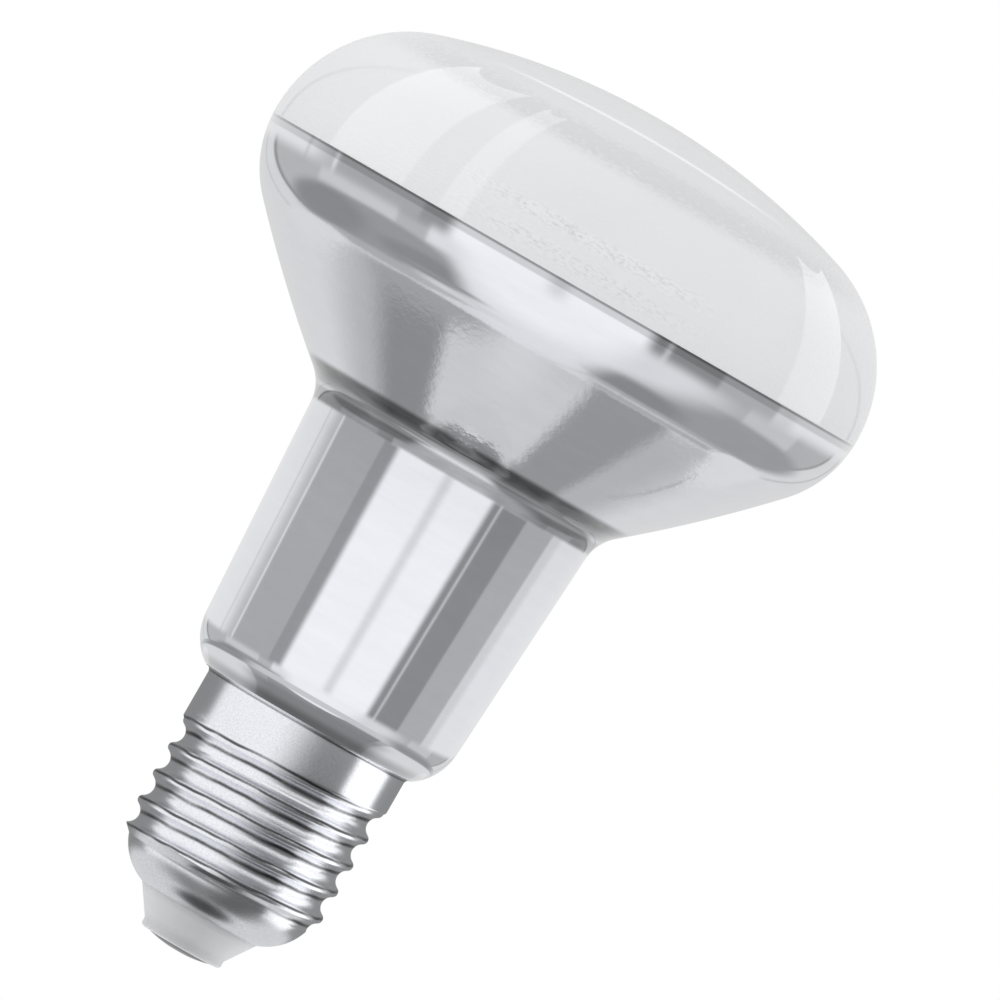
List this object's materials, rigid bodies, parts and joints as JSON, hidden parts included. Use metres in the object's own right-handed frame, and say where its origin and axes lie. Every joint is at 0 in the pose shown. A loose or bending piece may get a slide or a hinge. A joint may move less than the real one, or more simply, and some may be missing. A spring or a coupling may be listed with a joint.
{
  "type": "reflector bulb",
  "caption": "Reflector bulb with a flared, mirrored glass envelope, a frosted domed front and a screw cap with an insulated centre contact.",
  "frame": {"origin": "tip of the centre contact, on the bulb's axis", "axes": "+Z along the bulb's axis, from the screw cap to the frosted front; X and Y across it, and the thread's lowest end lies about +X"},
  "size_m": [0.08, 0.08, 0.1147],
  "materials": {
    "glass": "glossy outside; mirrored inside up to the widest circle and frosted white inside in front of it",
    "shell_metal": "satin, pressed from sheet",
    "insulator_plastic": "smooth light grey",
    "contact_metal": "bare, slightly dull"
  },
  "bodies": {
    "root": {"glass_envelope": "glass", "screw_shell": "shell_metal", "insulator": "insulator_plastic", "centre_contact": "contact_metal"}
  },
  "joints": []
}
